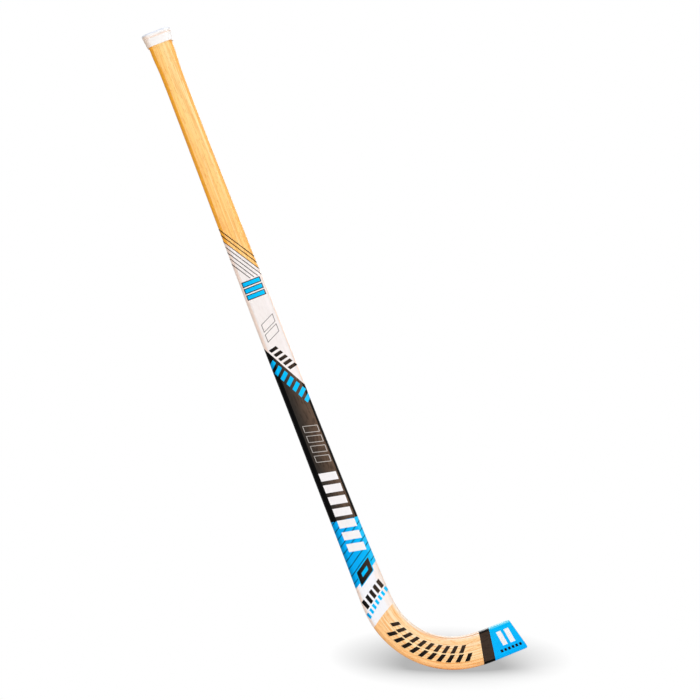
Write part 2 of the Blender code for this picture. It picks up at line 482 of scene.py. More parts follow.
@dataclass
class Bench:
    """Where bars are drawn out straight, and where finished pieces are bent and stood upright."""

    line: MiddleLine = field(default_factory=MiddleLine)
    section: Section = field(default_factory=Section)
    toe: ToeCut = field(default_factory=ToeCut)
    butt_end: float = 0.004
    form: Object | None = None

    def draw_out(self, bar: Object, stations: list[float], sides: Sides, depth: float | None = None) -> None:
        """Extrude the far end of a bar through stations, keeping both its sides where they belong.

        Args:
            bar: The bar, whose far end lies at the first station.
            stations: Distances of the sections.
            sides: Gives the offsets of both sides at a distance.
            depth: Half the thickness of a bar with rounded edges, which then follow the edge radius.
        """
        here = stations[0]
        low, high = sides(here)
        with editing(bar):
            pick(bar, Part.FACE, at_x(here))
            for there in stations[1:]:
                extrude(there - here)
                middle = (low + high) / 2
                new_low, new_high = sides(there)
                self.shift(bar, there, lambda y: y > middle, new_high - high)
                self.shift(bar, there, lambda y: y < middle, new_low - low)
                if depth is not None:
                    change = self.section.edge_radius(there) / self.section.edge_radius(here)
                    self.round_less(bar, there, (new_low, new_high), depth, change)
                pick(bar, Part.FACE, at_x(there))
                here, low, high = there, new_low, new_high

    def shift(self, bar: Object, x: float, wanted: Test, move: float) -> None:
        """Slide one side of a section across, in edit mode.

        Args:
            bar: The bar in edit mode.
            x: The section's distance.
            wanted: Says by offset which points move.
            move: How far they move.
        """
        pick(bar, Part.VERT, lambda vert: abs(vert.co.x - x) < TOUCH and wanted(vert.co.y))
        bpy.ops.transform.translate(value=(0, move, 0))

    def round_less(self, bar: Object, x: float, sides: Pair, depth: float, change: float) -> None:
        """Shrink the rounded corners of a section, in edit mode.

        Args:
            bar: The bar in edit mode.
            x: The section's distance.
            sides: Offsets of the section's sides.
            depth: Half the bar's thickness.
            change: The new radius as a share of the old one.
        """
        if abs(change - 1) < SEAM:
            return
        middle = sum(sides) / 2
        for y in sides:
            for z in (-depth, depth):
                pick(bar, Part.VERT, lambda vert: (
                    abs(vert.co.x - x) < TOUCH
                    and (vert.co.y - middle) * (y - middle) > 0
                    and vert.co.z * z > 0))
                bpy.ops.transform.resize(value=(1, change, change), center_override=(x, y, z))

    def milled_bar(self, name: str, grow: float) -> Object:
        """Make the whole stick as one straight, rounded bar with its toe cut.

        Args:
            name: The object's name.
            grow: How far its surface stands off the wood.

        Returns:
            The bar.
        """
        def sides(d: float) -> Pair:
            """Offsets of both sides of the bar."""
            half = self.section.half_width(d) + grow
            return -half, half

        start = self.butt_end
        depth = self.section.thickness / 2 + grow
        half = sides(start)[1]
        bar = block(name, (start - MM, -half, -depth), (start, half, depth))
        with editing(bar):
            pick(bar, Part.EDGE, runs_along)
            bpy.ops.mesh.bevel(
                offset=self.section.edge_radius(start) + grow, segments=self.section.edge_facets,
                profile=self.section.edge_fullness, affect="EDGES")
        stations = self.line.stations(start, self.line.stick_end + self.line.run_out / 2)
        self.draw_out(bar, stations, sides, depth)
        self.cut_toe(bar, sides(self.line.stick_end)[1], grow)
        clean(bar)
        return bar

    def cut_toe(self, bar: Object, half: float, grow: float) -> None:
        """Saw the toe off, round its corners and ease its rim.

        Args:
            bar: The bar to cut.
            half: Half its width at the toe.
            grow: How far its surface stands off the wood.
        """
        with editing(bar):
            for point, normal in self.toe.planes(self.line.stick_end, half):
                saw(bar, (point + self.toe.outward * grow, normal), Cut.DROP_AND_CLOSE)
            pick(bar, Part.FACE, self.is_end_grain)
            bpy.ops.mesh.region_to_loop()
            bpy.ops.mesh.bevel(
                offset=self.toe.rim_ease, segments=self.toe.rim_facets, affect="EDGES", clamp_overlap=True)

    def is_end_grain(self, face: Face) -> bool:
        """Whether a face of a straight bar belongs to the sawn end or its round corners."""
        past_bend = face.calc_center_median().x > self.line.bend_end
        return past_bend and abs(face.normal.z) < NO_SLOPE and face.normal.x > TOEWARDS

    def bend(self, piece: Object) -> None:
        """Note where each point lies on the bench, then bend the piece and stand it upright.

        Args:
            piece: The finished straight piece.
        """
        if self.form is None:
            self.form = self.line.bending_form()
        places = piece.data.attributes.new(STRAIGHT, "FLOAT_VECTOR", "POINT")
        for place, vert in zip(places.data, piece.data.vertices):
            place.vector = vert.co
        apply_modifier(piece, "CURVE", object=self.form, deform_axis="POS_X")
        piece.rotation_euler = (math.pi / 2, 0, 0)
        bpy.ops.object.transform_apply(location=True, rotation=True, scale=True)
        bpy.ops.object.shade_smooth_by_angle(angle=SMOOTH_ANGLE)
        with editing(piece):
            pick(piece, Part.EDGE, borders_flat_face)
            bpy.ops.mesh.mark_sharp()
            bpy.ops.mesh.select_all(action="DESELECT")

    def put_away(self) -> None:
        """Remove the bending form."""
        if self.form is not None:
            remove(self.form)
            self.form = None


def borders_flat_face(edge: Edge) -> bool:
    """Whether an edge of an upright piece parts the flat front or back from a rounded edge."""
    flat = [abs(face.normal.y) > FLAT for face in edge.link_faces]
    return len(flat) == 2 and flat[0] != flat[1]


# Finishes

def linear(colour: str) -> tuple[float, float, float, float]:
    """Turn an sRGB hex colour into linear values with full opacity.

    Args:
        colour: Six hex digits.

    Returns:
        Red, green, blue and alpha.
    """
    values = []
    for start in (0, 2, 4):
        share = int(colour[start:start + 2], 16) / 255
        values.append(share / 12.92 if share <= 0.04045 else ((share + 0.055) / 1.055) ** 2.4)
    return (*values, 1.0)


def in_use(sockets: Iterable[Socket], key: str | int | None = None) -> Socket:
    """Find a socket that the node's settings leave in use.

    Args:
        sockets: The inputs or outputs of a node.
        key: The socket's name or number, or none for the first one.

    Returns:
        The socket.
    """
    return next(
        socket for number, socket in enumerate(sockets)
        if socket.enabled and key in (None, number, socket.name))


def add_node(tree: Tree, kind: str, inputs: dict[object, object], **settings: object) -> Node:
    """Add a node, set it up and feed its inputs.

    Args:
        tree: The node tree.
        kind: The node's type without its prefix.
        inputs: By name or number, a value, a hex colour, an output, or a node whose first output in use
            feeds the input. A tuple of names takes a tuple of these.
        settings: Its properties by name.

    Returns:
        The node.
    """
    node = tree.nodes.new("ShaderNode" + kind)
    for name, value in settings.items():
        setattr(node, name, value)
    for keys, values in inputs.items():
        if not isinstance(keys, tuple):
            keys, values = (keys,), (values,)
        for key, value in zip(keys, values):
            socket = in_use(node.inputs, key)
            if isinstance(value, Node):
                value = in_use(value.outputs)
            if isinstance(value, Socket):
                tree.links.new(value, socket)
            else:
                socket.default_value = linear(value) if isinstance(value, str) else value
    return node


def bare_tree(owner: bpy.types.Material | bpy.types.World) -> Tree:
    """Switch a material or a world to nodes and empty its tree.

    Args:
        owner: The material or world.

    Returns:
        The empty tree.
    """
    owner.use_nodes = True
    owner.node_tree.nodes.clear()
    return owner.node_tree


WHITE = "FFFFFF"
COLOURS = {"data_type": "RGBA"}
SOFT = {"interpolation_type": "SMOOTHSTEP"}
FROM = ("From Min", "From Max")
TO = ("To Min", "To Max")
PER_MM = 1 / MM
EDGE_BLEND = 0.25 * MM
FINE, PLAIN, ROUGH = 3.0, 2.0, 1.0


@dataclass(frozen=True)
class Finish:
    """What all finishes share: a named node material read from the piece's place on the bench."""

    name: str

    def material(self) -> bpy.types.Material:
        """Make the material, unless it was made before.

        Returns:
            The material.
        """
        made = bpy.data.materials.get(self.name)
        if made is None:
            made = bpy.data.materials.new(self.name)
            tree = bare_tree(made)
            add_node(tree, "OutputMaterial", {"Surface": self.surface(tree)})
        return made

    def surface(self, tree: Tree) -> Node:
        """Add the nodes of the surface and return its shader."""
        raise NotImplementedError

    def place(self, tree: Tree) -> Node:
        """The place on the bench, split into its three distances."""
        straight = add_node(tree, "Attribute", {}, attribute_name=STRAIGHT)
        return add_node(tree, "SeparateXYZ", {"Vector": straight.outputs["Vector"]})

    def pattern(self, tree: Tree, sizes: Triple, start: float, detail: float) -> Node:
        """Random marks that have the stated sizes, from 0 to 1.

        Args:
            tree: The node tree.
            sizes: Sizes of the marks in millimetres along, across and through the stick.
            start: How far into the pattern this finish begins.
            detail: How much finer marks are laid over them.

        Returns:
            The node that gives the marks.
        """
        straight = add_node(tree, "Attribute", {}, attribute_name=STRAIGHT)
        scaled = add_node(tree, "Mapping", {
            "Vector": straight.outputs["Vector"],
            "Location": (start, start, start),
            "Scale": tuple(PER_MM / size for size in sizes)})
        return add_node(tree, "TexNoise", {"Vector": scaled, "Scale": 1.0, "Detail": detail})

    def on_flat(self, tree: Tree, depths: Pair) -> Node:
        """1 on the flat faces and 0 on the rounded edges and the sides.

        Args:
            tree: The node tree.
            depths: Distances from the middle of the thickness at which the face starts, on the heel
                side and on the throat side.

        Returns:
            The node that gives the share.
        """
        place = self.place(tree)
        start = add_node(tree, "MapRange", {
            "Value": place.outputs["Y"], FROM: (-EDGE_BLEND, EDGE_BLEND), TO: depths})
        depth = add_node(tree, "Math", {0: place.outputs["Z"]}, operation="ABSOLUTE")
        beyond = add_node(tree, "Math", {0: depth, 1: start}, operation="SUBTRACT")
        return add_node(tree, "MapRange", {"Value": beyond, FROM: (-EDGE_BLEND, EDGE_BLEND)}, **SOFT)


@dataclass(frozen=True)
class LacqueredWood(Finish):
    """Ash or pale hardwood, cut along the grain, milled smooth and coated with clear satin lacquer.

    It shows straight streaks along the grain, short open pores and darker late wood under a soft sheen.
    Broad growth rings show on the blade, where the strips' faces are cut nearly flat to them.
    The tone is deeper on the handle than on the blade. The rounded edges carry painted shading: painted
    shade, deeper orange, on the handle and the heel side, and a painted highlight, near white, on the throat
    edge of the blade.
    """

    butt_tone: str = "FFD68E"
    handle_tone: str = "FFCA76"
    blade_tone: str = "FFDBAA"
    # Painted shading of the rounded edges: deeper orange stands in for shade, and paler tones for a
    # highlight
    edge_shading: str = "FFB93F"
    blade_edge_shading: str = "FFC789"
    late_wood: str = "EFA04A"
    early_wood: str = "FFE9C4"
    pore: str = "E8963E"
    growth: str = "F0A456"
    early_share: float = 0.30
    late_share: float = 0.62
    pore_share: float = 0.55
    growth_share: float = 0.60
    early_range: Pair = (0.48, 0.70)
    late_range: Pair = (0.47, 0.68)
    pore_range: Pair = (0.57, 0.68)
    growth_range: Pair = (0.51, 0.64)
    handle_span: Pair = (0.08, 0.26)
    blade_span: Pair = (0.36, 0.90)
    flat_depth: float = 0.0106
    band_sizes: Triple = (260.0, 4.2, 9.0)
    streak_sizes: Triple = (85.0, 1.3, 3.5)
    growth_sizes: Triple = (150.0, 2.6, 7.0)
    # Pores are about 0.3 mm wide on real ash, too fine to show, so they are drawn coarser
    pore_sizes: Triple = (9.0, 1.4, 2.0)
    grain_start: float = 0.0
    streak_start: float = 7.0
    pore_start: float = 13.0
    growth_start: float = 19.0
    sheen_range: Pair = (0.3, 0.7)
    roughness: Pair = (0.45, 0.58)
    ior: float = 1.5
    gloss: float = 0.15
    coat: float = 0.03
    coat_roughness: float = 0.25
    pore_depth: float = 0.00004
    pore_relief: float = 0.3

    def surface(self, tree: Tree) -> Node:
        """Streaks and pores along the grain, painted shading on the rounded edges, under a satin coat.

        Args:
            tree: The node tree.

        Returns:
            The shader.
        """
        along = self.place(tree).outputs["X"]
        down_handle = add_node(tree, "MapRange", {"Value": along, FROM: self.handle_span}, **SOFT)
        to_blade = add_node(tree, "MapRange", {"Value": along, FROM: self.blade_span}, **SOFT)
        handle = add_node(tree, "Mix", {
            "Factor": down_handle, "A": self.butt_tone, "B": self.handle_tone}, **COLOURS)
        face = add_node(tree, "Mix", {"Factor": to_blade, "A": handle, "B": self.blade_tone}, **COLOURS)
        # Painted shading: the rounded edges take these tones instead of the face's
        edge = add_node(tree, "Mix", {
            "Factor": to_blade, "A": self.edge_shading, "B": self.blade_edge_shading}, **COLOURS)
        bands = self.pattern(tree, self.band_sizes, self.grain_start, PLAIN)
        early = add_node(tree, "MapRange", {
            "Value": bands, FROM: self.early_range, "To Max": self.early_share}, **SOFT)
        face = add_node(tree, "Mix", {"Factor": early, "A": face, "B": self.early_wood}, **COLOURS)
        on_flat = self.on_flat(tree, (self.flat_depth, self.flat_depth))
        colour = add_node(tree, "Mix", {"Factor": on_flat, "A": edge, "B": face}, **COLOURS)

        streaks = self.pattern(tree, self.streak_sizes, self.grain_start + self.streak_start, FINE)
        rings = self.pattern(tree, self.growth_sizes, self.grain_start + self.growth_start, ROUGH)
        on_blade = add_node(tree, "Math", {0: to_blade, 1: self.growth_share}, operation="MULTIPLY")
        pores = self.pattern(tree, self.pore_sizes, self.grain_start + self.pore_start, PLAIN)
        for marks, limits, share, tone in (
                (streaks, self.late_range, self.late_share, self.late_wood),
                (rings, self.growth_range, on_blade, self.growth),
                (pores, self.pore_range, self.pore_share, self.pore)):
            marked = add_node(tree, "MapRange", {"Value": marks, FROM: limits, "To Max": share}, **SOFT)
            colour = add_node(tree, "Mix", {"Factor": marked, "A": colour, "B": tone}, **COLOURS)
        return add_node(tree, "BsdfPrincipled", {
            "Base Color": colour,
            "Roughness": add_node(tree, "MapRange", {
                "Value": streaks, FROM: self.sheen_range, TO: self.roughness}),
            "IOR": self.ior,
            "Specular IOR Level": self.gloss,
            "Coat Weight": self.coat,
            "Coat Roughness": self.coat_roughness,
            "Normal": add_node(tree, "Bump", {
                "Height": pores, "Distance": self.pore_depth, "Strength": self.pore_relief}),
        })


@dataclass(frozen=True)
class ResinGlue(Finish):
    """Hardened resin glue in the joints: brown, level with the wood, with a dull sheen."""

    colour: str = "E0A050"
    dark: str = "C07C34"
    patch_sizes: Triple = (30.0, 4.0, 4.0)
    patch_range: Pair = (0.35, 0.65)
    roughness: float = 0.42
    ior: float = 1.54
    patch_depth: float = 0.00002
    patch_relief: float = 0.3

    def surface(self, tree: Tree) -> Node:
        """Uneven brown, as the joint is thicker and thinner.

        Args:
            tree: The node tree.

        Returns:
            The shader.
        """
        uneven = self.pattern(tree, self.patch_sizes, 0.0, PLAIN)
        share = add_node(tree, "MapRange", {"Value": uneven, FROM: self.patch_range}, **SOFT)
        return add_node(tree, "BsdfPrincipled", {
            "Base Color": add_node(tree, "Mix", {
                "Factor": share, "A": self.colour, "B": self.dark}, **COLOURS),
            "Roughness": self.roughness,
            "IOR": self.ior,
            "Normal": add_node(tree, "Bump", {
                "Height": uneven, "Distance": self.patch_depth, "Strength": self.patch_relief}),
        })


@dataclass(frozen=True)
class PrintedVinyl(Finish):
    """Self-adhesive PVC film, calendered smooth and printed, drawn tight over the wood.

    It is glossy with a faint orange peel, the wood's grain shows through as shallow mottling, and the tone
    shifts across the width from the heel side to the throat side. The rounded edges carry painted shading,
    which is painted shade on most films and a painted highlight on the throat edges of the blue films.
    """

    heel_tone: str = "F1E9E6"
    throat_tone: str = "F0E8E6"
    mottle: str = "E5DAD6"
    mottle_share: float = 0.35
    # Painted shading of the rounded edges: darker and warmer tones stand in for shade, paler ones for a
    # highlight. heel_depth, throat_depth and face_start bound it.
    heel_edge_shading: str = "FBE2D4"
    throat_edge_shading: str = "F8DCCB"
    tone_span: Pair = (-0.010, 0.014)
    heel_depth: float = 0.0105
    throat_depth: float = 0.0078
    face_start: float = -0.0500
    mottle_range: Pair = (0.45, 0.70)
    mottle_start: float = 3.0
    mottle_sizes: Triple = (9.0, 2.6, 5.0)
    sheen_range: Pair = (0.3, 0.7)
    roughness: Pair = (0.33, 0.41)
    ior: float = 1.46
    gloss: float = 0.25
    # Orange peel on real film is about 1 mm wide, too fine to show, so it is drawn coarser
    peel_sizes: Triple = (2.4, 1.8, 1.8)
    peel_start: float = 5.0
    peel_depth: float = 0.00003
    peel_relief: float = 0.25

    def surface(self, tree: Tree) -> Node:
        """Tone across the width, mottling from the wood, painted shading on the rounded edges and a fine
        orange peel.

        Args:
            tree: The node tree.

        Returns:
            The shader.
        """
        y = self.place(tree).outputs["Y"]
        across = add_node(tree, "MapRange", {"Value": y, FROM: self.tone_span}, **SOFT)
        face = add_node(tree, "Mix", {
            "Factor": across, "A": self.heel_tone, "B": self.throat_tone}, **COLOURS)
        grain = self.pattern(tree, self.mottle_sizes, self.mottle_start, FINE)
        marks = add_node(tree, "MapRange", {
            "Value": grain, FROM: self.mottle_range, "To Max": self.mottle_share}, **SOFT)
        mottled = add_node(tree, "Mix", {"Factor": marks, "A": face, "B": self.mottle}, **COLOURS)
        # Painted shading on the rounded edges, and on the black films also over the heel side of the face up
        # to face_start
        edge = add_node(tree, "Mix", {
            "Factor": across, "A": self.heel_edge_shading, "B": self.throat_edge_shading}, **COLOURS)
        within = add_node(tree, "MapRange", {
            "Value": y, FROM: (self.face_start, self.face_start + 2 * EDGE_BLEND)})
        on_flat = self.on_flat(tree, (self.heel_depth, self.throat_depth))
        on_face = add_node(tree, "Math", {0: on_flat, 1: within}, operation="MULTIPLY")
        peel = self.pattern(tree, self.peel_sizes, self.peel_start, ROUGH)
        return add_node(tree, "BsdfPrincipled", {
            "Base Color": add_node(tree, "Mix", {"Factor": on_face, "A": edge, "B": mottled}, **COLOURS),
            "Roughness": add_node(tree, "MapRange", {
                "Value": grain, FROM: self.sheen_range, TO: self.roughness}),
            "IOR": self.ior,
            "Specular IOR Level": self.gloss,
            "Normal": add_node(tree, "Bump", {
                "Height": peel, "Distance": self.peel_depth, "Strength": self.peel_relief}),
        })


@dataclass(frozen=True)
class MouldedPlastic(Finish):
    """White ABS, injection moulded in a fine-blasted mould.

    It has a soft sheen and faint clouding. The groove under the bead and the heel side are tinted warm as
    painted shade, and the crown, where it rounds off, is tinted cool as painted shade.
    """

    colour: str = "F7F3F1"
    shade: str = "F2ECE9"
    # Painted shade: a cool tint on the crown, a warm one in the groove and down the heel side
    crown_shade: str = "E3E8F3"
    groove_shade: str = "F5E0D2"
    heel_tone: str = "F1D9C6"
    cloud_sizes: Triple = (6.0, 9.0, 9.0)
    cloud_range: Pair = (0.35, 0.75)
    cloud_share: float = 0.5
    heel_span: Pair = (-0.0090, -0.0185)
    groove_middle: float = 0.0064
    groove_reach: float = 0.0021
    crown_span: Pair = (0.0034, 0.0012)
    # Marks of fine blasting are about 0.1 mm wide, too fine to show, so they are drawn coarser
    grit_sizes: Triple = (1.6, 1.6, 1.6)
    grit_depth: float = 0.00001
    grit_relief: float = 0.15
    roughness: float = 0.50
    ior: float = 1.53
    gloss: float = 0.3

    def surface(self, tree: Tree) -> Node:
        """Faint clouding with the grit of the blasted mould, and painted shade: a warm groove and heel side
        and a cool crown.

        Args:
            tree: The node tree.

        Returns:
            The shader.
        """
        place = self.place(tree)
        clouds = self.pattern(tree, self.cloud_sizes, 0.0, PLAIN)
        cloudy = add_node(tree, "MapRange", {
            "Value": clouds, FROM: self.cloud_range, "To Max": self.cloud_share})
        to_heel = add_node(tree, "MapRange", {"Value": place.outputs["Y"], FROM: self.heel_span}, **SOFT)
        past_groove = add_node(tree, "Math", {
            0: place.outputs["X"], 1: self.groove_middle}, operation="SUBTRACT")
        off_groove = add_node(tree, "Math", {0: past_groove}, operation="ABSOLUTE")
        in_groove = add_node(tree, "MapRange", {"Value": off_groove, FROM: (self.groove_reach, 0.0)}, **SOFT)
        on_crown = add_node(tree, "MapRange", {"Value": place.outputs["X"], FROM: self.crown_span}, **SOFT)
        # Painted shade laid over the clouding: warm down the heel side and in the groove, cool on the crown
        colour = self.colour
        for share, tone in (
                (cloudy, self.shade), (to_heel, self.heel_tone),
                (in_groove, self.groove_shade), (on_crown, self.crown_shade)):
            colour = add_node(tree, "Mix", {"Factor": share, "A": colour, "B": tone}, **COLOURS)
        grit = self.pattern(tree, self.grit_sizes, 0.0, ROUGH)
        return add_node(tree, "BsdfPrincipled", {
            "Base Color": colour,
            "Roughness": self.roughness,
            "IOR": self.ior,
            "Specular IOR Level": self.gloss,
            "Normal": add_node(tree, "Bump", {
                "Height": grit, "Distance": self.grit_depth, "Strength": self.grit_relief}),
        })


WHITE_VINYL = PrintedVinyl("vinyl_white_calendered")
LOWER_WHITE_VINYL = PrintedVinyl(
    "vinyl_cool_white_calendered", heel_tone="F1F0F4", throat_tone="F5E7DE", mottle="E6E4E9",
    throat_edge_shading="FDE4D0", tone_span=(0.009, 0.014))
# On the black films the brown face tones are a painted sheen, a warm reflection that rises towards the
# throat side, and the near-black edge tones are painted shade. The toe band's even brown face is the same
# painted sheen.
BLACK_VINYL = PrintedVinyl(
    "vinyl_black_calendered", heel_tone="302B27", throat_tone="614D3F", heel_edge_shading="030303",
    throat_edge_shading="0A0908", mottle="2A211B", mottle_share=0.6, throat_depth=0.0093,
    face_start=-0.0106, gloss=0.04)
TOE_BLACK_VINYL = replace(
    BLACK_VINYL, name="vinyl_toe_black_calendered", heel_tone="3C2F26", throat_tone="3C2F26",
    face_start=-0.0190)
# The blue film's darker heel edge is painted shade, and the paler throat edges of both blue films are a
# painted highlight
BLUE_VINYL = PrintedVinyl(
    "vinyl_blue_calendered", heel_tone="00A6EE", throat_tone="00B4F4", heel_edge_shading="009ADC",
    throat_edge_shading="2AC5FA", mottle="00A4E8", mottle_share=0.3, throat_depth=0.0107, gloss=0.03)
TOE_BLUE_VINYL = replace(
    BLUE_VINYL, name="vinyl_toe_blue_calendered", heel_tone="00B2FC", throat_tone="00B6F6",
    heel_edge_shading="00B6FF", throat_edge_shading="60DCFF", throat_depth=0.0085)


def plain_ink(name: str, heel: str, throat: str, mottle: str, gloss: float) -> PrintedVinyl:
    """An ink that has the same tones on the rounded edges as on the flat faces."""
    return PrintedVinyl(
        name, heel, throat, mottle, heel_edge_shading=heel, throat_edge_shading=throat, gloss=gloss)


class Ink(Enum):
    """The printing inks of the film, each a finish of its own."""

    # The white, black and cyan inks keep the painted edge shading of their films, and the black ink keeps
    # the black film's painted sheen
    WHITE = replace(
        WHITE_VINYL, name="ink_white_screen_printed", heel_tone="F0EBEB", throat_tone="F0ECED",
        mottle="E6DFDF")
    BLACK = replace(
        BLACK_VINYL, name="ink_black_screen_printed", heel_tone="0E0C0B", throat_tone="3E3026",
        face_start=WHITE_VINYL.face_start)
    CYAN = replace(
        BLUE_VINYL, name="ink_cyan_screen_printed", heel_tone="00B6F2", throat_tone="04C6FF",
        mottle="00B8F4")
    NAVY = plain_ink("ink_navy_screen_printed", "04182A", "06243A", "061E30", 0.04)
    BROWN = plain_ink("ink_brown_screen_printed", "1E140A", "322310", "281C0E", 0.06)
    GREY = plain_ink("ink_grey_screen_printed", "4C4644", "5C5553", "544E4C", 0.06)
    PALE = plain_ink("ink_pale_screen_printed", "A9A29C", "C9C1BB", "B5ADA7", 0.06)


# Pieces

def hand_over(piece: Object, node: str | None = None) -> None:
    """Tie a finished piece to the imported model.

    Args:
        piece: The finished piece.
        node: The CAD node that it stands for, if any.
    """
    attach(piece, BODY)
    if node is not None:
        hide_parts(node)
    LOG.info("%s: %d faces", piece.name, len(piece.data.polygons))


class StripKind(Enum):
    """The strips on one side of the stick, from the middle outwards."""

    CORE = "core"
    WEDGE = "wedge"
    INNER = "inner"
    MIDDLE = "middle"
    EDGE = "edge"

    @property
    def is_pale(self) -> bool:
        """Whether strips of this kind are of pale hardwood, not of ash."""
        return self in (StripKind.CORE, StripKind.WEDGE)


@dataclass(frozen=True)
class Strip:
    """One strip of wood in the glued stick, with its own grain."""

    kind: StripKind
    side: Side
    finish: LacqueredWood

    @property
    def node(self) -> str:
        """The CAD node that the strip stands for.

        Returns:
            The node's name.
        """
        if self.kind is StripKind.CORE:
            return "core_lamination"
        place = "wedge" if self.kind is StripKind.WEDGE else f"lamination_{self.kind.value}"
        return f"{self.side.name.lower()}_{place}"

    @property
    def slot(self) -> str:
        """The record's material slot of the strip."""
        return "light_wood" if self.kind.is_pale else "ash_wood"


@dataclass
class GluedWood:
    """The glued strips and the resin in their joints, milled together to the stick's section."""

    bench: Bench
    strip: float = 0.0050
    joint: float = 0.00016
    wedge_tip: float = 0.430
    wedge_full: float = 0.930
    wedge_thickness: float = 0.0053
    wedge_blunt_end: float = 0.0006
    spare: float = 0.003

    def start(self, kind: StripKind) -> float:
        """Distance at which a kind of strip starts.

        Args:
            kind: Which strip. A wedge starts where it is as thin as wedges are made.

        Returns:
            The distance.
        """
        if kind is not StripKind.WEDGE:
            return self.bench.butt_end + self.spare
        length = self.wedge_full - self.wedge_tip
        return self.wedge_tip + length * self.wedge_blunt_end / self.wedge_thickness

    def wedge(self, d: float) -> float:
        """Thickness that a wedge adds on each side of the core."""
        share = (d - self.wedge_tip) / (self.wedge_full - self.wedge_tip)
        return self.wedge_thickness * min(max(share, 0.0), 1.0)

    def bounds(self, kind: StripKind, d: float) -> Pair:
        """Offsets of a strip's two glued faces, both counted outwards on its own side.

        Args:
            kind: Which strip.
            d: Distance along the stick.

        Returns:
            The near and the far offset.
        """
        core = self.strip / 2
        first = core + self.wedge(d)
        edges = {
            StripKind.CORE: (-core, core),
            StripKind.WEDGE: (core, first),
            StripKind.INNER: (first, first + self.strip),
            StripKind.MIDDLE: (first + self.strip, first + 2 * self.strip),
            StripKind.EDGE: (first + 2 * self.strip, self.bench.section.half_width(d) + self.spare),
        }
        near, far = edges[kind]
        return near + self.joint / 2, far - self.joint / 2

    def joint_bounds(self, kind: StripKind, d: float) -> Pair:
        """Offsets of the two faces of the resin on the far side of a strip."""
        far = self.bounds(kind, d)[1]
        return far, far + self.joint

    def bar(self, name: str, kind: StripKind, side: Side, span: Sides, blank: Object) -> Object:
        """Draw out a bar between two offsets and mill off what stands outside the blank.

        Args:
            name: The object's name.
            kind: The strip that it is, or that it lies beside.
            side: The side of the middle line.
            span: Gives its near and far offset at a distance.
            blank: The milled bar of the whole stick.

        Returns:
            The bar.
        """
        def sides(d: float) -> Pair:
            """Offsets of both sides of the bar."""
            near, far = span(d)
            return (near, far) if side is Side.THROAT else (-far, -near)

        start = self.start(kind)
        end = self.bench.line.stick_end + self.bench.line.run_out / 2 + self.spare
        depth = self.bench.section.thickness / 2 + self.spare
        low, high = sides(start)
        bar = block(name, (start - self.spare, low, -depth), (start, high, depth))
        self.bench.draw_out(bar, self.bench.line.stations(start, end), sides)
        apply_modifier(bar, "BOOLEAN", operation="INTERSECT", solver="EXACT", object=blank)
        clean(bar)
        return bar

    def build_strip(self, strip: Strip, blank: Object) -> Object:
        """Make one strip, bend it and dress it.

        Args:
            strip: Which strip and how it looks.
            blank: The milled bar of the whole stick.

        Returns:
            The finished strip.
        """
        span = partial(self.bounds, strip.kind)
        piece = self.bar(f"wood_{strip.node}", strip.kind, strip.side, span, blank)
        self.bench.bend(piece)
        piece.data.materials.append(strip.finish.material())
        return piece

    def build_joints(self, blank: Object, finish: ResinGlue) -> Object:
        """Make the thin resin joints between the strips, as one piece.

        Args:
            blank: The milled bar of the whole stick.
            finish: How the resin looks.

        Returns:
            The finished joints.
        """
        joints = [
            self.bar("joint", kind, side, partial(self.joint_bounds, kind), blank)
            for side in Side
            for kind in StripKind
            if kind is not StripKind.EDGE
        ]
        piece = join(joints, "resin_joints")
        self.bench.bend(piece)
        piece.data.materials.append(finish.material())
        return piece


ACROSS = 90.0
HALF_TURN = 180.0


@dataclass(frozen=True)
class Patch:
    """A four-sided printed shape: the middle line of its long side, with its sides leant as stated."""

    along: float
    across: float
    length: float
    width: float
    ink: Ink | None
    turn: float = 0.0
    lean: float = ACROSS

    def corners(self) -> list[Vector]:
        """The corners on the bench's XY plane.

        Returns:
            The four corners in order.
        """
        turn, lean = math.radians(self.turn), math.radians(self.turn + self.lean)
        half_long = Vector((math.cos(turn), math.sin(turn), 0)) * self.length / 2
        rise = self.width / 2 / math.sin(math.radians(self.lean))
        half_short = Vector((math.cos(lean), math.sin(lean), 0)) * rise
        centre = Vector((self.along, self.across, 0))
        return [
            centre - half_long - half_short,
            centre + half_long - half_short,
            centre + half_long + half_short,
            centre - half_long + half_short,
        ]

    def planes(self) -> list[Plane]:
        """The planes of its sides.

        Returns:
            A point and an outward normal for each side.
        """
        corners = self.corners()
        planes = []
        for start, end in zip(corners, corners[1:] + corners[:1]):
            run = (end - start).normalized()
            planes.append((start, Vector((run.y, -run.x, 0))))
        return planes

    def holds(self, point: Vector) -> bool:
        """Whether a point on the bench lies in the shape, seen from the front."""
        flat = Vector((point.x, point.y, 0))
        return all((flat - start).dot(normal) < 0 for start, normal in self.planes())

    def near(self, face: Face) -> bool:
        """Whether a face may need a cut.

        Args:
            face: A face of a straight sleeve.

        Returns:
            Whether the face overlaps the box round the shape.
        """
        corners = self.corners()
        for axis in (0, 1):
            values = [vert.co[axis] for vert in face.verts]
            bounds = [corner[axis] for corner in corners]
            if max(values) < min(bounds) or min(values) > max(bounds):
                return False
        return True


@dataclass(frozen=True)
class FilmEnd:
    """Where a film ends: its distance on the middle line and its run per unit of offset."""

    along: float
    run: float = 0.0

    @property
    def slope(self) -> float:
        """Direction of the end's line, in degrees from the stick's length."""
        return math.degrees(math.atan(1 / self.run))

    def plane(self, outward: int) -> Plane:
        """The plane of the end, with its normal to the toe (1) or to the butt (-1)."""
        normal = Vector((1, -self.run, 0)).normalized() * outward
        return Vector((self.along, 0, 0)), normal


@dataclass(frozen=True)
class Wrap:
    """One wrap of film with its print."""

    name: str
    node: str
    slot: str
    start: FilmEnd
    end: FilmEnd | None
    finish: PrintedVinyl
    patches: tuple[Patch, ...] = ()


